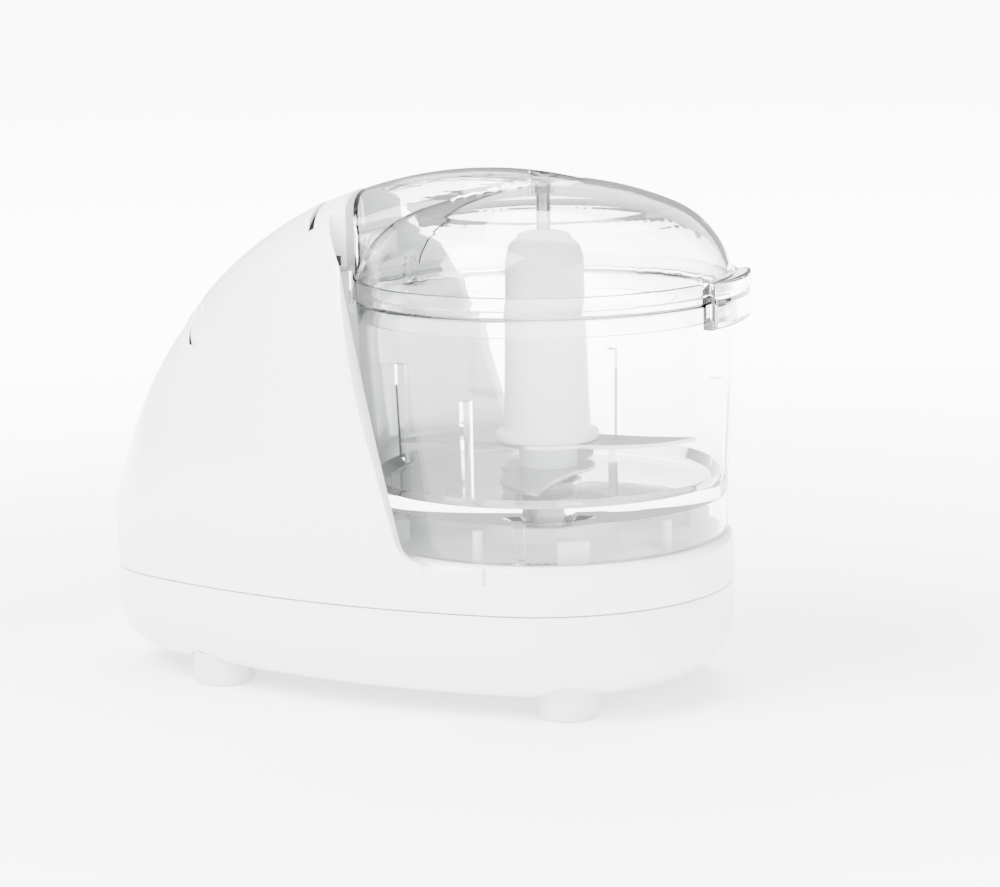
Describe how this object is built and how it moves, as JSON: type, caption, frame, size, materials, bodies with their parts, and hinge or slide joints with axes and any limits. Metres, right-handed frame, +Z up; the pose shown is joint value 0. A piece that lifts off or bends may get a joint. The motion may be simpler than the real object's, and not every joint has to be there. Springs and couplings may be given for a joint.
{
  "type": "mini food chopper",
  "caption": "Compact belt-driven food chopper: white base with motor tower, press button, clear lift-off bowl, clear twist lid and a spinning two-blade cutter.",
  "frame": {"origin": "middle of the footprint, on the surface that the feet stand on", "axes": "+X from the motor tower to the bowl, +Z up, XZ is the plane of symmetry of the casing"},
  "size_m": [0.2142, 0.1212, 0.165],
  "materials": {
    "white_abs": "satin white injection-moulded ABS",
    "button_abs": "satin white ABS, slightly cooler",
    "clear_plastic": "polished clear SAN",
    "frosted_plastic": "milky white polypropylene",
    "blade_steel": "ground stainless steel",
    "pin_steel": "polished stainless steel",
    "foot_rubber": "off-white rubber",
    "seal_rubber": "black rubber",
    "belt_rubber": "ribbed black belt",
    "dark_nylon": "glass-filled nylon",
    "white_nylon": "acetal",
    "steel": "zinc-plated steel",
    "lamination": "stacked steel sheets",
    "copper": "enamelled copper wire",
    "bearing_bronze": "sintered bronze",
    "carbon": "carbon",
    "board": "circuit board",
    "yellow_film": "film capacitor case"
  },
  "bodies": {
    "power_unit": {"base_tray": "white_abs", "upper_housing": "white_abs", "drive_belt": "belt_rubber", "button_spring": "steel", "switch_carrier": "dark_nylon", "lower_bearing": "bearing_bronze", "upper_bearing": "bearing_bronze", "shaft_seal": "seal_rubber", "lower_motor_bearing": "bearing_bronze", "upper_motor_bearing": "bearing_bronze", "stator_core": "lamination", "field_coils": "copper", "lower_motor_frame": "steel", "upper_motor_frame": "steel", "brush_holders": "bearing_bronze", "carbon_brushes": "carbon", "rubber_feet": "foot_rubber", "base_screws": "steel", "motor_mounts": "seal_rubber", "button_pivot_pin": "steel", "power_switch": "dark_nylon", "interlock_switch": "dark_nylon", "circuit_board": "board", "board_spacers": "white_nylon", "filter_capacitor": "yellow_film", "choke_coil": "copper", "cord_inlet": "seal_rubber", "cord_clamp": "dark_nylon"},
    "button": {"power_button": "button_abs"},
    "interlock": {"interlock_plunger": "white_nylon"},
    "motor_rotor": {"motor_shaft": "steel", "motor_pulley": "dark_nylon", "armature": "copper", "commutator": "copper", "motor_fan": "dark_nylon"},
    "output_drive": {"output_pulley": "dark_nylon", "drive_spindle": "white_nylon"},
    "bowl_seat": {"bowl_bush": "seal_rubber"},
    "cutter": {"blade_hub": "frosted_plastic", "upper_blade": "blade_steel", "lower_blade": "blade_steel", "top_pin": "pin_steel"},
    "bowl": {"bowl": "clear_plastic"},
    "lid_seat": {"lid_bush": "clear_plastic"},
    "lid": {"lid": "clear_plastic"}
  },
  "joints": [
    {"name": "button_press", "type": "hinge", "parent": "power_unit", "child": "button", "pos_m": [-0.0684, 0, 0.1202], "axis": [0, 1, 0], "range_deg": [0, 2.6], "stiffness_Nm_per_rad": 8, "springref_deg": -2.29, "deforming": ["button_spring"]},
    {"name": "interlock_travel", "type": "slide", "parent": "power_unit", "child": "interlock", "axis": [-0.9205, -0.3907, 0], "range_m": [0, 0.0025], "stiffness_N_per_m": 300, "springref_m": -0.0008},
    {"name": "motor_spin", "type": "hinge", "parent": "power_unit", "child": "motor_rotor", "pos_m": [-0.0559, 0, 0.08], "axis": [0, 0, 1], "continuous": true},
    {"name": "drive_spin", "type": "hinge", "parent": "power_unit", "child": "output_drive", "pos_m": [0.0421, 0, 0.05], "axis": [0, 0, 1], "continuous": true},
    {"name": "bowl_lift", "type": "slide", "parent": "power_unit", "child": "bowl_seat", "axis": [0, 0, 1], "range_m": [0, 0.15]},
    {"name": "blade_spin", "type": "hinge", "parent": "bowl_seat", "child": "cutter", "pos_m": [0.0421, 0, 0.09], "axis": [0, 0, 1], "continuous": true},
    {"name": "bowl_twist", "type": "hinge", "parent": "bowl_seat", "child": "bowl", "pos_m": [0.0421, 0, 0.06], "axis": [0, 0, 1], "range_deg": [0, 25]},
    {"name": "lid_lift", "type": "slide", "parent": "bowl", "child": "lid_seat", "axis": [0, 0, 1], "range_m": [0, 0.1]},
    {"name": "lid_twist", "type": "hinge", "parent": "lid_seat", "child": "lid", "pos_m": [0.0421, 0, 0.13], "axis": [0, 0, 1], "range_deg": [0, 30]}
  ],
  "couplings": [
    {"joint": "drive_spin", "follows": "motor_spin", "ratio": 0.2},
    {"joint": "blade_spin", "follows": "motor_spin", "ratio": 0.2}
  ]
}
